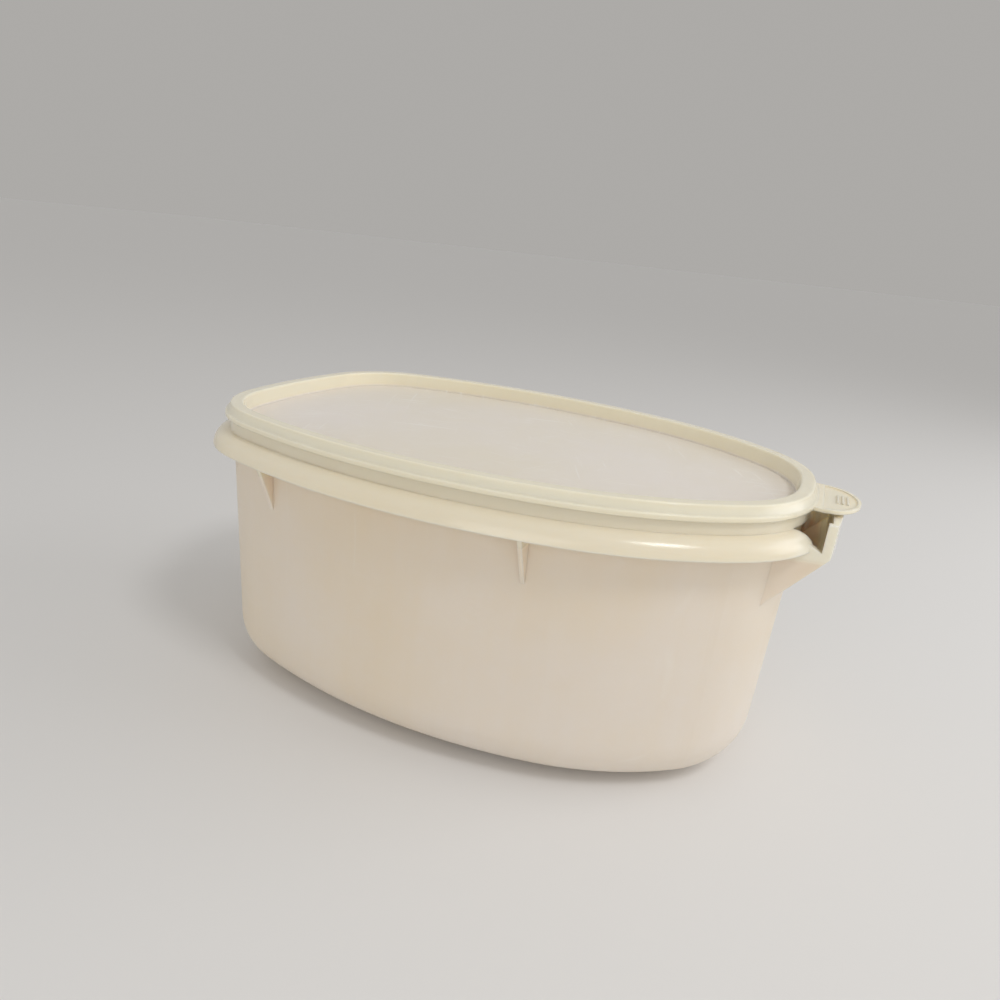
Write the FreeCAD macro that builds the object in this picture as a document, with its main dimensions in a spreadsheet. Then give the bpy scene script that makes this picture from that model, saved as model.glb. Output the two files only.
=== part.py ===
"""Food storage tub with a press-on lid, in millimetres.

The tub is a drafted shell that follows an egg-shaped outline: a rounder right end under the
lid's pull tab, a flatter left end. The origin is the centre of the footprint's bounding box,
on the surface the tub stands on. +X runs to the pull tab and +Z is up.
"""
import FreeCAD, Part
import Sketcher
import math
import os
import re

V = FreeCAD.Vector
doc = FreeCAD.newDocument("storage_tub")

# ---------------------------------------------------------------- driving sizes
SIZES = [
    # reference outline: tangent arcs, each up to the angle of its outward normal
    ("outline_length", 286.4),
    ("nose_ratio", 0.566),
    ("nose_angle", 4.0),
    ("round_end_ratio", 0.2221),
    ("round_end_angle", 50.5),
    ("front_side_ratio", 0.5694),
    ("front_side_angle", 75.9),
    ("long_side_ratio", 1.0181),
    ("long_side_angle", 107.7),
    ("tight_corner_ratio", 0.1861),
    ("tight_corner_angle", 172.0),
    # heights
    ("overall_height", 140.0),
    ("crest_to_panel", 8.0),
    ("crest_to_lip", 3.8),
    ("lip_depth", 2.6),
    ("lip_round", 0.8),
    ("crest_to_neck", 12.0),
    ("apron_height", 8.0),
    # offsets from the reference outline
    ("lip_inset", 1.8),
    ("crest_outer_inset", 4.2),
    ("crest_inner_inset", 10.4),
    ("neck_inset", 3.75),
    ("wall_inset_top", 5.8),
    ("wall_inset_foot", 8.4),
    ("apron_reach", 3.85),
    ("panel_inset", 11.2),
    ("foot_radius", 28.0),
    # thicknesses and clearances
    ("wall_thickness", 2.0),
    ("rim_thickness", 1.8),
    ("rim_flat", 0.5),
    ("rim_bevel", 2.4),
    ("apron_thickness", 1.8),
    ("apron_radius", 8.8),
    ("lid_thickness", 1.3),
    ("lid_side_clearance", 0.3),
    ("lid_seat_clearance", 0.2),
    ("crest_round", 0.9),
    # pull tab
    ("tab_reach", 15.0),
    ("tab_drop", 4.2),
    ("tab_thickness", 1.8),
    ("tab_dish_depth", 0.6),
    ("tab_rim_width", 1.5),
    ("tab_half_width", 20.2),
    ("tab_corner_radius", 12.5),
    ("tab_rib_length", 13.0),
    ("tab_rib_width", 0.8),
    ("tab_rib_height", 0.6),
    ("tab_rib_pitch", 2.0),
    ("tab_rib_inset", 5.0),
    # end grips
    ("grip_reach", 9.0),
    ("grip_half_width", 29.5),
    ("grip_flare", 0.3),
    ("grip_bow_radius", 225.0),
    ("grip_top_drop", 7.5),
    ("grip_fence_height", 14.6),
    ("grip_foot_drop", 43.7),
    ("grip_slope_run", 19.3),
    ("grip_web_start_drop", 13.2),
    ("grip_web_inset", 8.3),
    ("grip_post_width", 3.8),
    ("grip_thickness", 2.2),
    ("web_thickness", 3.0),
    ("flute_half_width", 1.3),
    ("flute_radius", 1.5),
    ("flute_pitch", 4.2),
    # gussets under the apron
    ("gusset_height", 21.5),
    ("gusset_thickness", 1.8),
    ("gusset_toe", 0.4),
    ("gusset_right_x", 38.0),
    ("gusset_left_x", -88.0),
]

FLUTES = 2
ARCS = ["nose", "round_end", "front_side", "long_side", "tight_corner", "flat_end"]

DERIVED = [
    ("lip_top", "overall_height - crest_to_lip"),
    ("lip_foot", "lip_top - lip_depth"),
    ("tab_top", "overall_height - tab_drop"),
    ("panel_height", "overall_height - crest_to_panel"),
    ("neck_height", "overall_height - crest_to_neck"),
    ("apron_foot", "neck_height - apron_height"),
    ("rim_height", "lip_top - lid_seat_clearance"),
    ("neck_inner", "neck_inset + rim_thickness"),
    ("wall_inner", "wall_inset_top + wall_thickness"),
    ("foot_inset", "wall_inset_foot + foot_radius"),
    ("skirt_inner", "neck_inset - lid_side_clearance"),
    ("crest_under", "overall_height - lid_thickness"),
    ("panel_under", "panel_height - lid_thickness"),
    ("recess_lean", "(panel_inset - crest_inner_inset) / (crest_to_panel - crest_round)"),
    ("recess_skin", "lid_thickness * sqrt(1 + recess_lean^2)"),
    ("recess_outer", "panel_inset + recess_lean * lid_thickness - recess_skin"),
    ("crest_hollow", "crest_inner_inset + recess_lean * (lid_thickness - crest_round) - recess_skin"),
    ("shoulder_inner", "crest_outer_inset + lid_thickness"),
    ("tab_nose_radius", "(tab_reach^2 + (tab_half_width - tab_corner_radius)^2 - tab_corner_radius^2)"
                        " / (2 * (tab_reach - tab_corner_radius))"),
    ("tab_lean", "asin((tab_half_width - tab_corner_radius) / (tab_nose_radius - tab_corner_radius))"),
    ("grip_top", "overall_height - grip_top_drop"),
    ("grip_fence_foot", "grip_top - grip_fence_height"),
    ("grip_slope_foot", "overall_height - grip_foot_drop"),
    ("grip_web_start", "overall_height - grip_web_start_drop"),
    ("grip_corner", "grip_reach - grip_bow_radius + sqrt(grip_bow_radius^2 - grip_half_width^2)"),
    ("grip_slope", "(grip_fence_foot - grip_slope_foot) / grip_slope_run"),
    ("grip_web_fall", "(grip_web_start - grip_fence_foot) / (grip_corner + grip_web_inset)"),
    ("grip_inner_half", "grip_half_width - web_thickness * sqrt(1 + grip_flare^2)"),
    ("web_lean", "grip_inner_half / grip_flare + grip_corner"),
]

# Where the inner face of a flared web meets the wall's outline: a line and a circle.
WEB_FOOT = [
    ("{end}_run", "({away}) + web_lean"),
    ("{end}_half_sum", "{end}_run / grip_flare + {arc}_cy"),
    ("{end}_reach", "{end}_run^2 + {arc}_cy^2 - ({arc}_radius - wall_inset_top)^2"),
    ("{end}_wall_half", "({end}_half_sum - sqrt({end}_half_sum^2 - (1 / grip_flare^2 + 1) * {end}_reach))"
                        " / (1 / grip_flare^2 + 1)"),
]

sheet = doc.addObject("Spreadsheet::Sheet", "sizes")
ALIASES = []


def put(name, text):
    """Write one named cell in the next free row."""
    ALIASES.append(name)
    cell = "B%d" % len(ALIASES)
    sheet.set("A%d" % len(ALIASES), name)
    sheet.set(cell, text)
    sheet.setAlias(cell, name)


for name, value in SIZES:
    put(name, str(value))
for arc in ARCS[:5]:
    put(arc + "_radius", "=outline_length * %s_ratio" % arc)

# Each arc starts where the one before it ends, so the last radius is the one that closes the outline.
rise = ["nose_radius * sin(nose_angle)"]
run = ["nose_radius * (1 - cos(nose_angle))"]
for before, arc in zip(ARCS[:4], ARCS[1:5]):
    rise.append("{1}_radius * (sin({1}_angle) - sin({0}_angle))".format(before, arc))
    run.append("{1}_radius * (cos({0}_angle) - cos({1}_angle))".format(before, arc))
put("flat_end_radius", "=(" + " + ".join(rise) + ") / sin(tight_corner_angle)")
run.append("flat_end_radius * (cos(tight_corner_angle) + 1)")
put("outline_span", "=" + " + ".join(run))
put("outline_right", "=(outline_span + grip_reach - tab_reach) / 2")
put("outline_left", "=outline_right - outline_span")
put("nose_cx", "=outline_right - nose_radius")
put("nose_cy", "=0 * nose_radius")
for before, arc in zip(ARCS[:5], ARCS[1:]):
    for axis, turn in (("cx", "cos"), ("cy", "sin")):
        step = "={0}_{2} + ({0}_radius - {1}_radius) * {3}({0}_angle)"
        put("%s_%s" % (arc, axis), step.format(before, arc, axis, turn))
for name, formula in DERIVED:
    put(name, "=" + formula)
for end, arc, away in (("right", "round_end", "outline_right - round_end_cx"),
                       ("left", "flat_end", "flat_end_cx - outline_left")):
    for name, formula in WEB_FOOT:
        put(name.format(end=end), "=" + formula.format(end=end, arc=arc, away=away))
doc.recompute()


# ---------------------------------------------------------------- helpers
def bound(text):
    """Turn bare size names into references to the sheet."""
    return re.sub(r"[a-z][a-z_0-9]*", lambda m: "sizes." + m[0] if m[0] in ALIASES else m[0], text)


def amount(text):
    """Value of an expression of size names."""
    return float(sheet.evalExpression(bound(text)))


def new_body(label):
    """A body with its label set."""
    body = doc.addObject("PartDesign::Body", label)
    body.Label = label
    return body


def new_sketch(body, name, plane, offset=None):
    """A sketch on one of the body's origin planes; offset is an expression along its normal."""
    sketch = body.newObject("Sketcher::SketchObject", name)
    support = [f for f in body.Origin.OriginFeatures if f.Role == plane][0]
    sketch.AttachmentSupport = [(support, "")]
    sketch.MapMode = "FlatFace"
    if offset:
        sketch.setExpression("AttachmentOffset.Base.z", bound(offset))
    doc.recompute()
    return sketch


def pin(sketch, edge, end, corner):
    """Hold one end of an edge at a corner given by two expressions."""
    for kind, text, axis in (("DistanceX", corner[0], -2), ("DistanceY", corner[1], -1)):
        here = amount(text)
        if abs(here) < 1e-9:
            sketch.addConstraint(Sketcher.Constraint("PointOnObject", edge, end, axis))
        else:
            index = sketch.addConstraint(Sketcher.Constraint(kind, -1, 1, edge, end, here))
            sketch.setExpression("Constraints[%d]" % index, bound(text))


def draw(sketch, corners):
    """Closed outline through corners (x, y, bend).

    bend is None for a straight edge to the next corner, or a radius expression led by
    + for an arc that turns left on its way there and by - for one that turns right.
    """
    count = len(corners)
    spots = [V(amount(c[0]), amount(c[1]), 0) for c in corners]
    edges = []
    for i, (x, y, bend) in enumerate(corners):
        start = spots[i]
        stop = spots[(i + 1) % count]
        if bend is None:
            edges.append((sketch.addGeometry(Part.LineSegment(start, stop), False), 1, 2))
            continue
        left = bend[0] == "+"
        radius = amount(bend[1:])
        chord = stop - start
        side = V(-chord.y, chord.x, 0).normalize()
        rise = math.sqrt(max(radius ** 2 - (chord.Length / 2) ** 2, 0))
        centre = (start + stop) * 0.5 + side * (rise if left else -rise)
        first, last = (start, stop) if left else (stop, start)
        turns = [math.atan2(p.y - centre.y, p.x - centre.x) for p in (first, last)]
        arc = Part.ArcOfCircle(Part.Circle(centre, V(0, 0, 1), radius), turns[0], turns[1])
        edge = sketch.addGeometry(arc, False)
        edges.append((edge, 1, 2) if left else (edge, 2, 1))
    for i, (edge, begin, end) in enumerate(edges):
        following = edges[(i + 1) % count]
        sketch.addConstraint(Sketcher.Constraint("Coincident", edge, end, following[0], following[1]))
        pin(sketch, edge, begin, corners[i])
        bend = corners[i][2]
        if bend is not None:
            radius = amount(bend[1:])
            index = sketch.addConstraint(Sketcher.Constraint("Radius", edge, radius))
            sketch.setExpression("Constraints[%d]" % index, bound(bend[1:]))
    doc.recompute()
    return sketch


def tub_outline(offset):
    """Corners of the outline at an offset expression from the lid's lip, for draw()."""
    corners = [("outline_right + (%s)" % offset, "0", "+nose_radius + (%s)" % offset)]
    for index, arc in enumerate(ARCS[:-1]):
        x = "{0}_cx + ({0}_radius + ({1})) * cos({0}_angle)".format(arc, offset)
        y = "{0}_cy + ({0}_radius + ({1})) * sin({0}_angle)".format(arc, offset)
        corners.append((x, y, "+%s_radius + (%s)" % (ARCS[index + 1], offset)))
    corners.append(("outline_left - (%s)" % offset, "0", "+flat_end_radius + (%s)" % offset))
    for index in range(len(ARCS) - 2, -1, -1):
        x, y, bend = corners[index + 1]
        corners.append((x, "-(%s)" % y, "+%s_radius + (%s)" % (ARCS[index], offset)))
    return corners


def feature(body, kind, name, sketch, **settings):
    """A sketch-based feature; settings that are text are bound to the sheet."""
    made = body.newObject("PartDesign::" + kind, name)
    made.Profile = sketch
    for key, setting in settings.items():
        if isinstance(setting, str) and key in ("Length", "Length2"):
            made.setExpression(key, bound(setting))
        else:
            setattr(made, key, setting)
    sketch.Visibility = False
    doc.recompute()
    return made


def flared(half, out):
    """Half width of a grip at a distance out from the outline's end."""
    return "%s + grip_flare * (grip_corner - (%s))" % (half, out)


class End:
    """One end of the tub: turns distances out from the outline's end into coordinates."""

    def __init__(self, name, origin, sign):
        self.name = name
        self.origin = origin
        self.sign = sign

    def x(self, out):
        """Coordinate of a point this far outside the outline's end."""
        return "%s %s (%s)" % (self.origin, self.sign, out)

    def y(self, along):
        """Coordinate along the end, turned over at the left so that outlines keep their sense."""
        return along if self.sign == "+" else "-(%s)" % along

    def turn_plan(self, corners):
        """The corners in anticlockwise order in a plan, bends moved to the edges they belong to."""
        if self.sign == "+":
            return corners
        bends = [corner[2] for corner in corners]
        turned = []
        for index in range(len(corners) - 1, -1, -1):
            x, y, _ = corners[index]
            turned.append((x, y, bends[index - 1]))
        return turned

    def turn(self, corners):
        """The corners in anticlockwise order in a side view."""
        return corners if self.sign == "+" else corners[::-1]


RIGHT = End("right", "outline_right", "+")
LEFT = End("left", "outline_left", "-")


def end_wall(inset, half):
    """Corners down the right end of an inset outline, from +half to -half across it."""
    x = "round_end_cx + sqrt((round_end_radius - (%s))^2 - ((%s) - round_end_cy)^2)" % (inset, half)
    nose = "nose_cx + (nose_radius - (%s)) * cos(nose_angle)" % inset
    rise = "(nose_radius - (%s)) * sin(nose_angle)" % inset
    return [
        (x, half, "-round_end_radius - (%s)" % inset),
        (nose, rise, "-nose_radius - (%s)" % inset),
        (nose, "-(%s)" % rise, "-round_end_radius - (%s)" % inset),
        (x, "-(%s)" % half, None),
    ]


def end_gap(end, inset):
    """Outline of the space between the webs of one grip, outside an inset outline."""
    far = "2 * grip_reach"
    narrow = "(%s)" % flared("grip_inner_half", far)
    if end is RIGHT:
        back = "right_wall_half"
        return [(end.x(far), "-" + narrow, None), (end.x(far), narrow, None)] + end_wall(inset, back)
    back = "left_wall_half"
    x = "flat_end_cx - sqrt((flat_end_radius - (%s))^2 - (%s)^2)" % (inset, back)
    return [
        (end.x(far), narrow, None),
        (end.x(far), "-" + narrow, None),
        (x, "-(%s)" % back, "-flat_end_radius - (%s)" % inset),
        (x, back, None),
    ]


def symmetric_pad(body, name, plane, offset, corners, width, kind="Pad"):
    """Pad or pocket an outline by half a width to each side of its plane."""
    sketch = draw(new_sketch(body, name + "_outline", plane, offset), corners)
    return feature(body, kind, name, sketch, SideType="Symmetric", Length=width)


# ---------------------------------------------------------------- tub shell
def make_shell():
    """The open shell with its hanging apron: a section swept round the outline, and a floor."""
    body = new_body("tub_shell")
    path = draw(new_sketch(body, "shell_path", "XY_Plane"), tub_outline("0"))
    edge = "outline_right - %s"
    corners = [
        (edge % "foot_inset", "0", "+foot_radius"),
        (edge % "wall_inset_foot", "foot_radius", None),
        (edge % "wall_inset_top", "neck_height - 3 * wall_thickness", None),
        ("outline_right + apron_reach - apron_thickness", "apron_foot", None),
        ("outline_right + apron_reach", "apron_foot", "+apron_radius"),
        (edge % "neck_inset", "neck_height", None),
        (edge % "neck_inset", "rim_height", None),
        (edge % "(neck_inset + rim_flat)", "rim_height", None),
        (edge % "neck_inner", "rim_height - rim_bevel", None),
        (edge % "neck_inner", "neck_height + rim_thickness", None),
        (edge % "wall_inner", "neck_height - rim_thickness", None),
        (edge % "(wall_inset_foot + wall_thickness)", "foot_radius", "-foot_radius - wall_thickness"),
        (edge % "foot_inset", "wall_thickness", None),
    ]
    section = draw(new_sketch(body, "shell_section", "XZ_Plane"), corners)
    ring = body.newObject("PartDesign::AdditivePipe", "shell_ring")
    ring.Profile = section
    ring.Spine = (path, [""])
    doc.recompute()
    floor = draw(new_sketch(body, "floor_outline", "XY_Plane"), tub_outline("-foot_inset"))
    feature(body, "Pad", "floor", floor, Length="wall_thickness")
    for side_end in (RIGHT, LEFT):
        pocket = end_gap(side_end, "wall_inset_top")
        sketch = draw(new_sketch(body, side_end.name + "_apron_gap", "XY_Plane", "neck_height"), pocket)
        feature(body, "Pocket", side_end.name + "_apron_cut", sketch, Length="apron_height + grip_thickness")
    for name, x in (("right", "gusset_right_x"), ("left", "gusset_left_x")):
        for side in (-1, 1):
            reach = "%d * (long_side_cy + sqrt((long_side_radius - (%%s))^2 - (%s - long_side_cx)^2))" % (side, x)
            wall = reach % "wall_inset_top + wall_thickness / 2"
            gusset = [
                (wall, "neck_height - 3 * wall_thickness", None),
                (wall, "apron_foot - gusset_height", None),
                (reach % "wall_inset_top + gusset_toe", "apron_foot - gusset_height", None),
                (reach % "apron_thickness / 2 - apron_reach", "apron_foot", None),
            ]
            if side > 0:
                gusset = [gusset[0], gusset[3], gusset[2], gusset[1]]
            label = "gusset_%s_%s" % (name, "front" if side < 0 else "back")
            symmetric_pad(body, label, "YZ_Plane", x, gusset, "gusset_thickness")
    return body


# ---------------------------------------------------------------- end grips
def make_grip(end):
    """A finger pocket open at the top: bowed fence, two flared webs and a sloping underside."""
    name = end.name + "_grip"
    root = "-3 * grip_reach"
    far = "2 * grip_reach"
    wide = flared("grip_half_width", root)
    plan = [
        (end.x(root), end.y("-(%s)" % wide), None),
        (end.x("grip_corner"), end.y("-grip_half_width"), "+grip_bow_radius"),
        (end.x("grip_corner"), end.y("grip_half_width"), None),
        (end.x(root), end.y(wide), None),
    ]
    body = new_body(name + "_block")
    block = draw(new_sketch(body, name + "_plan", "XY_Plane"), plan)
    feature(body, "Pad", name + "_solid", block, Length="grip_top")
    slope = "grip_fence_foot + grip_slope * (%s - grip_corner)"
    brow = "grip_fence_foot + grip_web_fall * (grip_corner - (%s))"
    post = "(grip_corner - grip_post_width)"
    high = "grip_top + grip_reach"
    under = [(root, "-grip_reach"), (far, "-grip_reach"), (far, slope % far), (root, slope % ("(%s)" % root))]
    level = "-grip_web_inset"
    notch = [(root, "grip_web_start"), (level, "grip_web_start"), (post, brow % post), (post, high), (root, high)]
    for label, corners in (("underside", under), ("brow", notch)):
        profile = end.turn([(end.x(x), z, None) for x, z in corners])
        symmetric_pad(body, "%s_%s" % (name, label), "XZ_Plane", None, profile, "4 * grip_half_width", "Pocket")

    fence = "(grip_corner - grip_thickness)"
    inner = flared("grip_inner_half", fence)
    back = flared("grip_inner_half", root)
    space = new_body(name + "_space")
    lower = [(root, "-(%s)" % back, None)]
    upper = [(fence, inner, None)]
    for index in range(FLUTES):
        near = "(%s - %d * flute_pitch + flute_half_width)" % (fence, index + 1)
        beyond = "(%s - %d * flute_pitch - flute_half_width)" % (fence, index + 1)
        upper.append((near, flared("grip_inner_half", near), "-flute_radius"))
        upper.append((beyond, flared("grip_inner_half", beyond), None))
        lower.insert(1, (near, "-(%s)" % flared("grip_inner_half", near), None))
        lower.insert(1, (beyond, "-(%s)" % flared("grip_inner_half", beyond), "-flute_radius"))
    lower.append((fence, "-(%s)" % inner, None))
    upper.append((root, back, None))
    corners = lower + upper
    outline = draw(new_sketch(space, name + "_space_plan", "XY_Plane"),
                   end.turn_plan([(end.x(x), y, bend) for x, y, bend in corners]))
    feature(space, "Pad", name + "_space_solid", outline, Length=high)
    floor = slope + " + grip_thickness * sqrt(1 + grip_slope^2)"
    below = [(root, "-grip_reach"), (far, "-grip_reach"), (far, floor % far), (root, floor % ("(%s)" % root))]
    profile = end.turn([(end.x(x), z, None) for x, z in below])
    symmetric_pad(space, name + "_floor", "XZ_Plane", None, profile, "4 * grip_half_width", "Pocket")
    hollow = doc.addObject("Part::Cut", name + "_hollow")
    hollow.Base = body
    hollow.Tool = space
    return hollow


def make_core():
    """The space inside the middle of the tub's wall, which trims what is fused to the wall."""
    body = new_body("wall_core")
    outline = draw(new_sketch(body, "core_outline", "XY_Plane"),
                   tub_outline("-wall_inset_top - wall_thickness / 2"))
    feature(body, "Pad", "core_block", outline, Length="overall_height")
    return body


def make_tub():
    """Shell and both grips as one moulding."""
    shell = make_shell()
    core = make_core()
    parts = [shell]
    for end in (RIGHT, LEFT):
        trimmed = doc.addObject("Part::Cut", end.name + "_grip_trimmed")
        trimmed.Base = make_grip(end)
        trimmed.Tool = core
        parts.append(trimmed)
    tub = doc.addObject("Part::MultiFuse", "tub")
    tub.Shapes = parts
    tub.Label = "tub"
    doc.recompute()
    return tub


# ---------------------------------------------------------------- lid
def tab_plan(shrink):
    """Corners of the pull tab's outline from the reference outline outwards, moved in by shrink."""
    nose = "(tab_nose_radius - %s)" % shrink
    corner = "+tab_corner_radius - %s" % shrink
    far = RIGHT.x("tab_reach - tab_nose_radius + %s * cos(tab_lean)" % nose)
    width = "%s * sin(tab_lean)" % nose
    half = "(tab_half_width - %s)" % shrink
    return [
        ("outline_right", "-" + half, corner),
        (far, "-" + width, "+" + nose),
        (far, width, corner),
        ("outline_right", half, None),
    ]


def make_lid():
    """Press-on lid: hollow rounded crest, outward lip, sunk panel and pull tab."""
    body = new_body("lid")
    path = draw(new_sketch(body, "lid_path", "XY_Plane"), tub_outline("0"))
    edge = "outline_right - (%s)"
    corners = [
        (edge % "lip_inset + lip_round", "lip_foot", "+lip_round"),
        (edge % "lip_inset", "lip_foot + lip_round", None),
        (edge % "lip_inset", "lip_top - lip_round", "+lip_round"),
        (edge % "lip_inset + lip_round", "lip_top", None),
        (edge % "crest_outer_inset", "overall_height - crest_round", "+crest_round"),
        (edge % "crest_outer_inset + crest_round", "overall_height", None),
        (edge % "crest_inner_inset - crest_round", "overall_height", "+crest_round"),
        (edge % "crest_inner_inset", "overall_height - crest_round", None),
        (edge % "panel_inset", "panel_height", None),
        (edge % "panel_inset", "panel_under", None),
        (edge % "recess_outer", "panel_under", None),
        (edge % "crest_hollow", "crest_under", None),
        (edge % "shoulder_inner", "crest_under", None),
        (edge % "skirt_inner", "lip_top", None),
        (edge % "skirt_inner", "lip_foot", None),
    ]
    section = draw(new_sketch(body, "lid_section", "XZ_Plane"), corners)
    ring = body.newObject("PartDesign::AdditivePipe", "lid_ring")
    ring.Profile = section
    ring.Spine = (path, [""])
    doc.recompute()
    panel = draw(new_sketch(body, "panel_outline", "XY_Plane", "panel_under"), tub_outline("-recess_outer"))
    feature(body, "Pad", "panel", panel, Length="lid_thickness")

    root = "(lip_inset + skirt_inner) / 2"
    outline = draw(new_sketch(body, "tab_outline", "XY_Plane", "tab_top - tab_thickness"),
                   tab_plan("0") + end_wall(root, "tab_half_width"))
    feature(body, "Pad", "tab", outline, Length="tab_thickness")
    dish = draw(new_sketch(body, "tab_dish_outline", "XY_Plane", "tab_top"), tab_plan("tab_rim_width"))
    feature(body, "Pocket", "tab_dish", dish, Length="tab_dish_depth")
    for index in range(3):
        inset = "tab_reach - tab_rib_inset - %d * tab_rib_pitch" % index
        rib = [
            (RIGHT.x("%s - tab_rib_width" % inset), "-tab_rib_length / 2", None),
            (RIGHT.x(inset), "-tab_rib_length / 2", None),
            (RIGHT.x(inset), "tab_rib_length / 2", None),
            (RIGHT.x("%s - tab_rib_width" % inset), "tab_rib_length / 2", None),
        ]
        sketch = draw(new_sketch(body, "tab_rib_%d_outline" % index, "XY_Plane", "tab_top - tab_dish_depth"), rib)
        feature(body, "Pad", "tab_rib_%d" % index, sketch, Length="tab_rib_height")
    return body


tub = make_tub()
lid = make_lid()
doc.recompute()

# ---------------------------------------------------------------- check and write
for thing in doc.Objects:
    if "Invalid" in thing.State or "Error" in thing.State:
        raise RuntimeError("%s did not rebuild: %s" % (thing.Name, thing.State))
os.makedirs("parts", exist_ok=True)
for node in (tub, lid):
    shape = node.Shape
    if shape.isNull() or not shape.isValid() or len(shape.Solids) != 1:
        raise RuntimeError("%s is not one sound solid" % node.Label)
    shape.exportStep("parts/%s.step" % node.Label)
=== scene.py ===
"""Looks of a lidded food storage tub in milky plastic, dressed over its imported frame.

Every coordinate is in metres in the row's frame: +X runs to the pull tab, +Z is up.
"""

import logging
import math
from dataclasses import dataclass, field
from enum import Enum

import bpy
from mathutils import Matrix, Vector

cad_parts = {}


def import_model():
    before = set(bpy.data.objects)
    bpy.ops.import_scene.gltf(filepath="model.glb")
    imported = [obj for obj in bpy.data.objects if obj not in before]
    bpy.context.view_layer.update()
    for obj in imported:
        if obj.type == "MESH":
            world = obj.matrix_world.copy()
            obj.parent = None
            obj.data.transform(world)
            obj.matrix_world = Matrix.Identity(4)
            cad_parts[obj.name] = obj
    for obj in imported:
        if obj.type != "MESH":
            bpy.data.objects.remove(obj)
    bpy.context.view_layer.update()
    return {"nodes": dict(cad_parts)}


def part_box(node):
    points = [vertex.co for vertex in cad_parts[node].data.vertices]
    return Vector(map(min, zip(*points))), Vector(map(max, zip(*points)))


logging.basicConfig(level=logging.INFO, format="%(name)s: %(message)s")
LOG = logging.getLogger("scene")

Colour = tuple[float, float, float]
Triple = tuple[float, float, float]
Sockets = bpy.types.bpy_prop_collection


class Part(Enum):
    """The frame's nodes."""

    TUB = "tub"
    LID = "lid"


def srgb(red: int, green: int, blue: int) -> Colour:
    """Linear colour of an sRGB triple.

    Args:
        red: Red channel, 0 to 255.
        green: Green channel, 0 to 255.
        blue: Blue channel, 0 to 255.

    Returns:
        The colour in linear light.
    """
    linear = []
    for channel in (red, green, blue):
        share = channel / 255
        linear.append(share / 12.92 if share <= 0.04045 else ((share + 0.055) / 1.055) ** 2.4)
    return tuple(linear)


def even(length: float) -> Triple:
    """The same length in all three channels."""
    return (length, length, length)


@dataclass(frozen=True)
class Layers:
    """How a noise is built up: how many finer layers it has, and how strong they are."""

    detail: float = 2.0
    roughness: float = 0.5


class Tree:
    """Short calls for adding nodes to one node tree."""

    def __init__(self, tree: bpy.types.NodeTree) -> None:
        """Keep the tree."""
        self.tree = tree

    def add(self, kind: str, **settings: object) -> bpy.types.Node:
        """Add a node.

        Args:
            kind: Its type, without the "ShaderNode" in front.
            settings: Properties of the node to set.

        Returns:
            The node.
        """
        node = self.tree.nodes.new("ShaderNode" + kind)
        for key, value in settings.items():
            setattr(node, key, value)
        return node

    def feed(self, node: bpy.types.Node, **sources: object) -> bpy.types.Node:
        """Link or set a node's inputs, named with underscores for spaces, or numbered as _0, _1 and on.

        Args:
            node: The node whose inputs are fed.
            sources: An output socket to link, or a plain value to set.

        Returns:
            The same node.
        """
        for key, source in sources.items():
            socket = node.inputs[int(key[1:])] if key[0] == "_" else node.inputs[key.replace("_", " ")]
            if isinstance(source, bpy.types.NodeSocket):
                self.tree.links.new(source, socket)
            elif isinstance(source, tuple) and len(source) == 3 and socket.type == "RGBA":
                socket.default_value = (*source, 1.0)
            else:
                socket.default_value = source
        return node

    def math(self, operation: str, first: object, second: object = 0.0,
             clamp: bool = False) -> bpy.types.NodeSocket:
        """One operation on two numbers, kept between 0 and 1 where clamp is set."""
        node = self.add("Math", operation=operation, use_clamp=clamp)
        return self.feed(node, _0=first, _1=second).outputs[0]

    def swing(self, value: object, strength: float) -> bpy.types.NodeSocket:
        """A noise value brought round zero and scaled."""
        return self.math("MULTIPLY", self.math("SUBTRACT", value, 0.5), strength)

    def step(self, value: object, low: object, high: object) -> bpy.types.NodeSocket:
        """A smooth step, from 0 at low to 1 at high."""
        node = self.add("MapRange", interpolation_type="SMOOTHSTEP")
        return self.feed(node, Value=value, From_Min=low, From_Max=high).outputs["Result"]

    def between(self, share: object, first: float, second: float) -> bpy.types.NodeSocket:
        """A number that goes from first to second as share goes from 0 to 1."""
        return self.feed(self.add("Mix"), _0=share, _2=first, _3=second).outputs[0]

    def mix(self, share: object, under: object, over: object) -> bpy.types.NodeSocket:
        """One colour laid over another, as far as share says."""
        node = self.add("Mix", data_type="RGBA")
        return self.feed(node, _0=share, _6=under, _7=over).outputs[2]

    def noise(self, vector: object, scale: object, layers: Layers = Layers()) -> bpy.types.NodeSocket:
        """Soft noise between 0 and 1, with scale as its lumps to the metre."""
        node = self.add("TexNoise")
        return self.feed(node, Vector=vector, Scale=scale, Detail=layers.detail,
                         Roughness=layers.roughness).outputs[0]

    def place(self, vector: object, turn: float = 0.0,
              stretch: Triple = (1.0, 1.0, 1.0)) -> bpy.types.NodeSocket:
        """Coordinates turned about Z, in radians, and then stretched along each axis."""
        turned = self.feed(self.add("Mapping"), Vector=vector, Rotation=(0.0, 0.0, turn)).outputs[0]
        return self.feed(self.add("Mapping"), Vector=turned, Scale=stretch).outputs[0]


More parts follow.
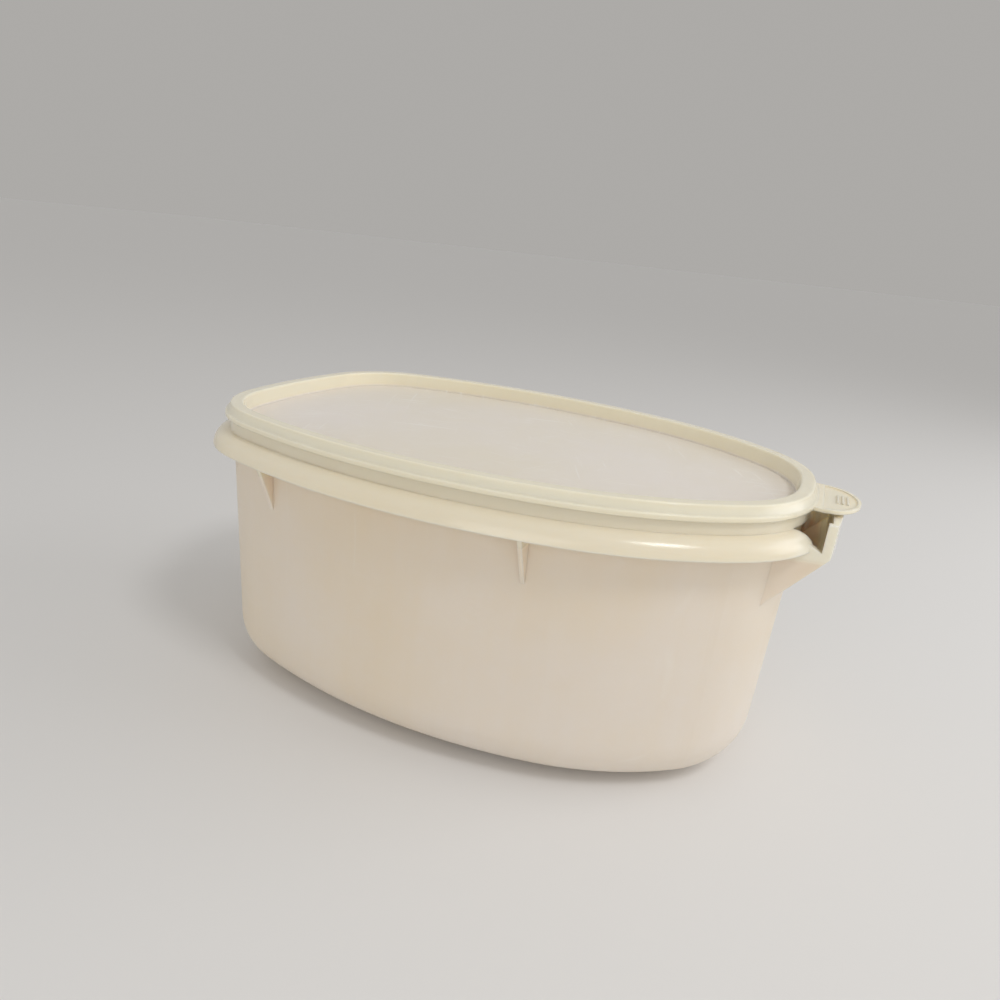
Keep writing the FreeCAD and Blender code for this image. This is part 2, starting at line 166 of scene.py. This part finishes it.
class Effect:
    """A shader node group that several finishes share."""

    title = "effect"
    inputs: tuple[tuple[str, str, object], ...] = ()
    outputs: tuple[tuple[str, str], ...] = ()

    def __init__(self) -> None:
        """Build the group once."""
        self.group = bpy.data.node_groups.new(self.title, "ShaderNodeTree")
        face = self.group.interface
        for name, kind, value in self.inputs:
            socket = face.new_socket(name, in_out="INPUT", socket_type="NodeSocket" + kind)
            if value is not None:
                socket.default_value = (*value, 1.0) if kind == "Color" else value
        for name, kind in self.outputs:
            face.new_socket(name, in_out="OUTPUT", socket_type="NodeSocket" + kind)
        given = self.group.nodes.new("NodeGroupInput").outputs
        results = self.wire(Tree(self.group), given)
        target = self.group.nodes.new("NodeGroupOutput")
        for name, socket in results.items():
            self.group.links.new(socket, target.inputs[name])

    def wire(self, tree: Tree, given: Sockets) -> dict[str, bpy.types.NodeSocket]:
        """Join the nodes inside the group and give the socket that feeds each output."""
        raise NotImplementedError

    def use(self, tree: Tree, **sources: object) -> Sockets:
        """Place the group in a material's tree, feed it and give its outputs."""
        node = tree.add("Group", node_tree=self.group, label=self.title)
        return tree.feed(node, **sources).outputs


class CloudedMilk(Effect):
    """Tint of a moulded milky wall: soft clouds of two shades with faint flow lines."""

    title = "clouded_milk"
    inputs = (("Vector", "Vector", None), ("Warm", "Color", (1.0, 1.0, 1.0)),
              ("Pale", "Color", (1.0, 1.0, 1.0)), ("Cloud Scale", "Float", 9.0), ("Contrast", "Float", 1.0))
    outputs = (("Color", "Color"),)
    cloud_layers = Layers(3.0, 0.45)
    cloud_strength = 3.2
    mottle_layers = Layers(3.0, 0.6)
    mottle_fineness = 14.0
    mottle_strength = 0.25
    flow_scale = 130.0
    flow_stretch = (1.0, 1.0, 0.05)
    flow_strength = 0.4

    def wire(self, tree: Tree, given: Sockets) -> dict[str, bpy.types.NodeSocket]:
        """Join large clouds, small mottle and upright flow lines.

        Args:
            tree: The group's tree.
            given: The group's inputs.

        Returns:
            The tint.
        """
        vector = given["Vector"]
        cloud = tree.noise(vector, given["Cloud Scale"], self.cloud_layers)
        fine = tree.math("MULTIPLY", given["Cloud Scale"], self.mottle_fineness)
        mottle = tree.noise(vector, fine, self.mottle_layers)
        flow = tree.noise(tree.place(vector, 0.0, self.flow_stretch), self.flow_scale)
        value = tree.math("ADD", tree.swing(cloud, self.cloud_strength),
                          tree.swing(mottle, self.mottle_strength))
        value = tree.math("ADD", value, tree.swing(flow, self.flow_strength))
        share = tree.math("ADD", tree.math("MULTIPLY", value, given["Contrast"]), 0.5, clamp=True)
        return {"Color": tree.mix(share, given["Warm"], given["Pale"])}


class UseMarks(Effect):
    """Scratches and scuffs from years in a kitchen."""

    title = "use_marks"
    inputs = (("Vector", "Vector", None), ("Density", "Float", 0.5), ("Length", "Float", 22.0),
              ("Fineness", "Float", 560.0))
    outputs = (("Scratches", "Float"), ("Scuffs", "Float"))
    turns = (0.12, -0.35, 1.15, 2.05)
    layer_gap = 7.3
    bend_scale = 14.0
    bend_detail = 1.0
    bend_reach = (0.010, 0.010, 0.010)
    line_layers = Layers(1.0, 0.4)
    rare_limit = 0.80
    density_gain = 0.14
    stroke_fade = 0.07
    patch_turn = 0.6
    patch_layers = Layers(1.0)
    patch_scale = 26.0
    patch_growth = 5.0
    patch_band = (0.48, 0.66)
    scuff_layers = Layers(4.0, 0.65)
    scuff_scale = 38.0
    scuff_band = (0.50, 0.72)
    grit_layers = Layers(2.0, 0.6)
    grit_turn = 0.2
    grit_stretch = (0.35, 1.0, 1.0)
    grit_scale = 420.0
    grit_band = (0.45, 0.75)

    def wire(self, tree: Tree, given: Sockets) -> dict[str, bpy.types.NodeSocket]:
        """Join a layer of thin strokes for each direction, and soft scuffed patches.

        Args:
            tree: The group's tree.
            given: The group's inputs.

        Returns:
            The scratch mask and the scuff mask.
        """
        vector = given["Vector"]
        bend = tree.feed(tree.add("TexNoise"), Vector=vector, Scale=self.bend_scale,
                         Detail=self.bend_detail)
        shifted = tree.add("VectorMath", operation="MULTIPLY_ADD")
        bent = tree.feed(shifted, _0=bend.outputs["Color"], _1=self.bend_reach, _2=vector).outputs[0]
        common = tree.math("MULTIPLY", given["Density"], self.density_gain)
        limit = tree.math("SUBTRACT", self.rare_limit, common)
        strokes = 0.0
        for number, turn in enumerate(self.turns):
            parts = tree.feed(tree.add("SeparateXYZ"), Vector=tree.place(bent, turn)).outputs
            long = tree.math("MULTIPLY", parts[0], given["Length"])
            short = tree.math("MULTIPLY", parts[1], given["Fineness"])
            apart = self.layer_gap * number
            joined = tree.feed(tree.add("CombineXYZ"), X=long, Y=short, Z=apart).outputs[0]
            line = tree.noise(joined, 1.0, self.line_layers)
            patch = tree.noise(tree.place(vector, turn + self.patch_turn),
                               self.patch_scale + self.patch_growth * number, self.patch_layers)
            stroke = tree.step(line, limit, tree.math("ADD", limit, self.stroke_fade))
            stroke = tree.math("MULTIPLY", stroke, tree.step(patch, *self.patch_band))
            strokes = tree.math("MAXIMUM", strokes, stroke)
        broad = tree.noise(vector, self.scuff_scale, self.scuff_layers)
        grit = tree.noise(tree.place(bent, self.grit_turn, self.grit_stretch), self.grit_scale,
                          self.grit_layers)
        scuff = tree.math("MULTIPLY", tree.step(broad, *self.scuff_band), tree.step(grit, *self.grit_band))
        return {"Scratches": strokes, "Scuffs": tree.math("MULTIPLY", scuff, given["Density"])}


class RolledEdge(Effect):
    """Soft turned edges: a rounded normal, and a mask of where the surface turns, which the finish uses to
    paint a highlight along the edges.
    """

    title = "rolled_edge_highlight"
    inputs = (("Radius", "Float", 0.0009),)
    outputs = (("Normal", "Vector"), ("Highlight", "Float"))
    samples = 4
    turn_band = (0.03, 0.30)

    def wire(self, tree: Tree, given: Sockets) -> dict[str, bpy.types.NodeSocket]:
        """Compare the rounded normal with the plain one.

        Args:
            tree: The group's tree.
            given: The group's inputs.

        Returns:
            The rounded normal and the mask for the painted edge highlight.
        """
        rounded = tree.feed(tree.add("Bevel", samples=self.samples), Radius=given["Radius"]).outputs[0]
        plain = tree.add("NewGeometry").outputs["Normal"]
        agree = tree.feed(tree.add("VectorMath", operation="DOT_PRODUCT"), _0=rounded, _1=plain)
        turned = tree.math("SUBTRACT", 1.0, agree.outputs["Value"])
        edge = tree.step(turned, *self.turn_band)
        return {"Normal": rounded, "Highlight": edge}


class PaintedGrooveShade(Effect):
    """Painted shade: a mask that darkens grooves and corners where they are shut in."""

    title = "painted_groove_shade"
    inputs = (("Vector", "Vector", None), ("Depth", "Float", 0.012))
    outputs = (("Darkening", "Float"),)
    samples = 4
    closed_band = (0.25, 0.85)
    patch_layers = Layers(3.0, 0.6)
    patch_scale = 55.0
    patch_band = (0.25, 0.75)
    least_share = 0.5

    def wire(self, tree: Tree, given: Sockets) -> dict[str, bpy.types.NodeSocket]:
        """Find sheltered places and break them up.

        Args:
            tree: The group's tree.
            given: The group's inputs.

        Returns:
            The haze mask.
        """
        shelter = tree.feed(tree.add("AmbientOcclusion", samples=self.samples), Distance=given["Depth"])
        closed = tree.step(tree.math("SUBTRACT", 1.0, shelter.outputs["AO"]), *self.closed_band)
        patches = tree.noise(given["Vector"], self.patch_scale, self.patch_layers)
        more = tree.math("MULTIPLY", tree.step(patches, *self.patch_band), 1.0 - self.least_share)
        share = tree.math("ADD", more, self.least_share)
        return {"Darkening": tree.math("MULTIPLY", closed, share)}


class MouldGrain(Effect):
    """Fine relief of a moulded skin: grain, and the slow waves of a cooled wall."""

    title = "mould_grain"
    inputs = (("Vector", "Vector", None), ("Grain Scale", "Float", 1400.0), ("Wave", "Float", 1.0))
    outputs = (("Height", "Float"), ("Sheen", "Float"))
    grain_layers = Layers(3.0, 0.6)
    wave_layers = Layers(2.0, 0.45)
    wave_scale = 24.0
    sheen_layers = Layers(4.0, 0.6)
    sheen_scale = 70.0

    def wire(self, tree: Tree, given: Sockets) -> dict[str, bpy.types.NodeSocket]:
        """Join fine grain with slow waves.

        Args:
            tree: The group's tree.
            given: The group's inputs.

        Returns:
            The relief and an uneven gloss value.
        """
        grain = tree.noise(given["Vector"], given["Grain Scale"], self.grain_layers)
        wave = tree.noise(given["Vector"], self.wave_scale, self.wave_layers)
        sheen = tree.noise(given["Vector"], self.sheen_scale, self.sheen_layers)
        height = tree.math("ADD", grain, tree.math("MULTIPLY", wave, given["Wave"]))
        return {"Height": height, "Sheen": sheen}


@dataclass
class Effects:
    """The shared node groups."""

    milk: CloudedMilk = field(default_factory=CloudedMilk)
    marks: UseMarks = field(default_factory=UseMarks)
    edge: RolledEdge = field(default_factory=RolledEdge)
    groove_shade: PaintedGrooveShade = field(default_factory=PaintedGrooveShade)
    grain: MouldGrain = field(default_factory=MouldGrain)


@dataclass(frozen=True)
class Shade:
    """One region's look: its tints, its gloss, how cloudy and how used it is."""

    warm: Colour
    pale: Colour
    roughness: float
    marked: float
    cloudy: float


@dataclass(frozen=True)
class WearAndPaintedLight:
    """How strongly each kind of wear, the painted shade in grooves and the painted highlight on edges show
    in the colour, the gloss and the relief.
    """

    # How far the painted shade in grooves and corners darkens the colour.
    groove_shade: float = 0.12
    # How far scratches take the near-white that also serves the painted edge highlight.
    scratch_and_highlight_white: float = 0.38
    scuff: float = 0.40
    # How far the painted highlight along turned edges lightens the colour.
    edge: float = 0.25
    sheen: float = 0.22
    rubbed: float = 0.25
    # How far the painted shade in grooves and corners dulls the gloss.
    groove_shade_dulling: float = 0.15
    cut: float = 1.5


@dataclass(frozen=True)
class MilkyPlastic:
    """Finish of a thin moulding in milky plastic, with a rim that differs from the wall in tint and gloss.

    The grips lie farther out along X than grip_start, and a part without grips leaves it a metre away.
    """

    name: str
    wall: Shade
    rim: Shade
    rim_low: float
    rim_high: float
    grip_start: float = 1.0
    grip_fade: float = 0.005
    # Paler tint on the grips: partly their own less yellow tone, partly painted light standing in for light
    # that reaches the shaded grip pockets.
    grip_tint_and_light: Colour = srgb(247, 239, 221)
    # Tan laid into grooves and corners as painted shade.
    groove_shade: Colour = srgb(176, 152, 112)
    # Near-white of scratches and scuffs, also laid on turned edges as a painted highlight.
    scratch_and_highlight_white: Colour = srgb(254, 251, 246)
    scatter: float = 0.0021
    index: float = 1.5
    grain_scale: float = 1400.0
    grain_depth: float = 0.00003
    wave: float = 6.0
    cloud_scale: float = 9.0
    mark_density: float = 0.5
    wear_and_painted_light: WearAndPaintedLight = WearAndPaintedLight()

    def tint(self, tree: Tree, here: bpy.types.NodeSocket, effects: Effects,
             shade: Shade) -> bpy.types.NodeSocket:
        """Clouded colour of one region, from the object's own coordinates."""
        return effects.milk.use(tree, Vector=here, Warm=shade.warm, Pale=shade.pale,
                                Cloud_Scale=self.cloud_scale, Contrast=shade.cloudy)["Color"]

    def build(self, effects: Effects) -> bpy.types.Material:
        """Make the material.

        Args:
            effects: The shared node groups.

        Returns:
            The material, ready to be put on a mesh.
        """
        material = bpy.data.materials.new(self.name)
        material.use_nodes = True
        material.node_tree.nodes.clear()
        tree = Tree(material.node_tree)
        wear_and_painted_light = self.wear_and_painted_light
        here = tree.add("TexCoord").outputs["Object"]
        along, _, height = tree.feed(tree.add("SeparateXYZ"), Vector=here).outputs
        rim = tree.step(height, self.rim_low, self.rim_high)
        # Mask of the grips, whose paler tint also paints light into their shaded pockets.
        grip_tint_and_light = tree.step(tree.math("ABSOLUTE", along), self.grip_start, self.grip_start + self.grip_fade)

        marks = effects.marks.use(tree, Vector=here, Density=self.mark_density)
        # Rounded normal, and the mask of turned edges that takes a painted highlight.
        edge = effects.edge.use(tree)
        # Mask of painted shade in grooves and corners.
        groove_shade = effects.groove_shade.use(tree, Vector=here)["Darkening"]
        grain = effects.grain.use(tree, Vector=here, Grain_Scale=self.grain_scale, Wave=self.wave)
        marked = tree.between(rim, self.wall.marked, self.rim.marked)
        scratches = tree.math("MULTIPLY", marks["Scratches"], marked)
        scuffs = tree.math("MULTIPLY", marks["Scuffs"], marked)

        below, above = (self.tint(tree, here, effects, shade) for shade in (self.wall, self.rim))
        colour = tree.mix(rim, below, above)
        # Coats over the clouded tint: the grips' paler tint, partly their own tone and partly painted light
        # in the shaded pockets; painted shade in grooves and corners; whitened scratches and scuffs; and a
        # painted highlight along turned edges.
        coats = ((grip_tint_and_light, rim, self.grip_tint_and_light),
                 (groove_shade, wear_and_painted_light.groove_shade, self.groove_shade),
                 (scratches, wear_and_painted_light.scratch_and_highlight_white, self.scratch_and_highlight_white),
                 (scuffs, wear_and_painted_light.scuff, self.scratch_and_highlight_white),
                 (edge["Highlight"], wear_and_painted_light.edge, self.scratch_and_highlight_white))
        for mask, strength, over in coats:
            colour = tree.mix(tree.math("MULTIPLY", mask, strength), colour, over)

        gloss = tree.between(rim, self.wall.roughness, self.rim.roughness)
        gloss = tree.math("ADD", gloss, tree.swing(grain["Sheen"], wear_and_painted_light.sheen))
        rubbed = tree.math("MULTIPLY", tree.math("MAXIMUM", scratches, scuffs), wear_and_painted_light.rubbed)
        dulled = tree.math("MULTIPLY", groove_shade, wear_and_painted_light.groove_shade_dulling)
        gloss = tree.math("ADD", tree.math("ADD", gloss, rubbed), dulled, clamp=True)

        relief = tree.math("SUBTRACT", grain["Height"], tree.math("MULTIPLY", scratches, wear_and_painted_light.cut))
        bump = tree.feed(tree.add("Bump"), Strength=1.0, Distance=self.grain_depth, Height=relief,
                         Normal=edge["Normal"])

        skin = tree.add("BsdfPrincipled", subsurface_method="RANDOM_WALK")
        tree.feed(skin, Base_Color=colour, Roughness=gloss, Normal=bump.outputs[0], IOR=self.index,
                  Subsurface_Weight=1.0, Subsurface_Radius=even(self.scatter), Subsurface_Scale=1.0)
        tree.feed(tree.add("OutputMaterial"), Surface=skin.outputs[0])
        return material

    def put_on(self, node: bpy.types.Object, effects: Effects) -> None:
        """Give a node this finish alone."""
        node.data.materials.clear()
        node.data.materials.append(self.build(effects))


@dataclass
class Tub:
    """The open tub: thin walls, and a thick collar with its apron and grips at the top."""

    effects: Effects
    collar: float = 0.0215
    fade: float = 0.0030
    grip_start: float = 0.1310
    wall: Shade = Shade(srgb(238, 222, 197), srgb(241, 231, 221), 0.42, 0.30, 0.65)
    rim: Shade = Shade(srgb(239, 228, 202), srgb(243, 236, 220), 0.16, 0.05, 0.30)

    def dress(self, node: bpy.types.Object) -> MilkyPlastic:
        """Put the plastic on the tub.

        Args:
            node: The tub's node.

        Returns:
            The finish it wears.
        """
        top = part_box(Part.TUB.value)[1][2]
        start = top - self.collar
        finish = MilkyPlastic("tub_plastic", self.wall, self.rim, rim_low=start, rim_high=start + self.fade,
                              grip_start=self.grip_start)
        finish.put_on(node, self.effects)
        return finish


@dataclass
class Lid:
    """The press-on lid: a frosted sunk panel inside a glossy crest."""

    effects: Effects
    recess: float = 0.0080
    panel_skin: float = 0.0004
    fade: float = 0.0012
    scatter: float = 0.0013
    mark_density: float = 1.0
    panel: Shade = Shade(srgb(237, 228, 212), srgb(240, 232, 226), 0.46, 1.0, 0.65)
    rim: Shade = Shade(srgb(245, 234, 209), srgb(248, 240, 222), 0.20, 0.05, 0.30)

    def dress(self, node: bpy.types.Object) -> MilkyPlastic:
        """Put the plastic on the lid.

        Args:
            node: The lid's node.

        Returns:
            The finish it wears.
        """
        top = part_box(Part.LID.value)[1][2]
        start = top - self.recess + self.panel_skin
        finish = MilkyPlastic("lid_plastic", self.panel, self.rim, rim_low=start,
                              rim_high=start + self.fade, scatter=self.scatter,
                              mark_density=self.mark_density)
        finish.put_on(node, self.effects)
        return finish


@dataclass(frozen=True)
class Lamp:
    """A square soft light aimed at the tub's middle."""

    name: str
    place: Triple
    size: float
    power: float
    aim: Triple = (0.0, 0.0, 0.08)

    def build(self) -> None:
        """Hang the lamp."""
        data = bpy.data.lights.new(self.name, "AREA")
        data.size = self.size
        data.energy = self.power
        light = bpy.data.objects.new(self.name, data)
        light.location = self.place
        light.rotation_euler = (Vector(self.aim) - Vector(self.place)).to_track_quat("-Z", "Y").to_euler()
        bpy.context.scene.collection.objects.link(light)


@dataclass(frozen=True)
class Viewpoint:
    """A wide camera close in front, turned a little to the left and rolled."""

    place: Triple = (0.1265, -0.3378, 0.2245)
    yaw: float = 0.38248
    pitch: float = 0.33249
    roll: float = -0.10724
    lens: float = 26.744
    sensor: float = 36.0
    nearest: float = 0.01

    def build(self) -> None:
        """Make the camera and let the scene use it."""
        level = math.cos(self.pitch)
        forward = Vector((-math.sin(self.yaw) * level, math.cos(self.yaw) * level, -math.sin(self.pitch)))
        right = Vector((math.cos(self.yaw), math.sin(self.yaw), 0))
        down = forward.cross(right)
        across = right * math.cos(self.roll) + down * math.sin(self.roll)
        drop = down * math.cos(self.roll) - right * math.sin(self.roll)
        data = bpy.data.cameras.new("camera")
        data.lens = self.lens
        data.sensor_width = self.sensor
        data.clip_start = self.nearest
        camera = bpy.data.objects.new("camera", data)
        turn = Matrix((across, -drop, -forward)).transposed()
        camera.matrix_world = Matrix.Translation(Vector(self.place)) @ turn.to_4x4()
        bpy.context.scene.collection.objects.link(camera)
        bpy.context.scene.camera = camera


@dataclass
class Studio:
    """Pale floor, even sky, soft lamps and the camera."""

    floor_colour: Colour = (0.80, 0.79, 0.78)
    floor_roughness: float = 0.9
    floor_span: float = 40.0
    sky_colour: Colour = (1.0, 0.985, 0.96)
    sky_strength: float = 0.52
    view: Viewpoint = Viewpoint()
    lamps: tuple[Lamp, ...] = (
        Lamp("key", (0.62, -0.36, 1.10), 0.25, 3.0),
        Lamp("front", (0.10, -1.30, 0.55), 0.60, 1.8),
        Lamp("side", (1.10, 0.45, 0.60), 0.80, 4.0),
    )

    def build(self) -> None:
        """Make the floor, the world, the lamps and the camera."""
        self.make_floor()
        self.make_world()
        for lamp in self.lamps:
            lamp.build()
        self.view.build()
        bpy.context.scene.view_settings.view_transform = "Standard"

    def make_floor(self) -> None:
        """A flat pale floor under the tub."""
        bpy.ops.mesh.primitive_plane_add(size=self.floor_span, location=(0, 0, 0))
        floor = bpy.context.object
        floor.name = "floor"
        material = bpy.data.materials.new("floor_paint")
        material.use_nodes = True
        tree = Tree(material.node_tree)
        tree.feed(material.node_tree.nodes["Principled BSDF"], Base_Color=self.floor_colour,
                  Roughness=self.floor_roughness)
        floor.data.materials.append(material)

    def make_world(self) -> None:
        """Even pale light from all round, seen as the same pale shade as the far floor."""
        world = bpy.data.worlds.new("studio")
        world.use_nodes = True
        world.node_tree.nodes.clear()
        tree = Tree(world.node_tree)
        sky = tree.feed(tree.add("Background"), Color=self.sky_colour, Strength=self.sky_strength)
        seen = tuple(floor * light for floor, light in zip(self.floor_colour, self.sky_colour))
        wall = tree.feed(tree.add("Background"), Color=seen, Strength=self.sky_strength)
        rays = tree.add("LightPath").outputs
        direct = tree.math("MAXIMUM", rays["Is Camera Ray"], rays["Is Transmission Ray"])
        both = tree.feed(tree.add("MixShader"), _0=direct, _1=sky.outputs[0], _2=wall.outputs[0])
        tree.feed(tree.add("OutputWorld"), Surface=both.outputs[0])
        bpy.context.scene.world = world


def main() -> None:
    """Build the scene over the frame."""
    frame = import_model()
    effects = Effects()
    for part, piece in ((Part.TUB, Tub(effects)), (Part.LID, Lid(effects))):
        finish = piece.dress(frame["nodes"][part.value])
        LOG.info("%s wears %s", part.value, finish.name)
    Studio().build()


if __name__ == "__main__":
    main()
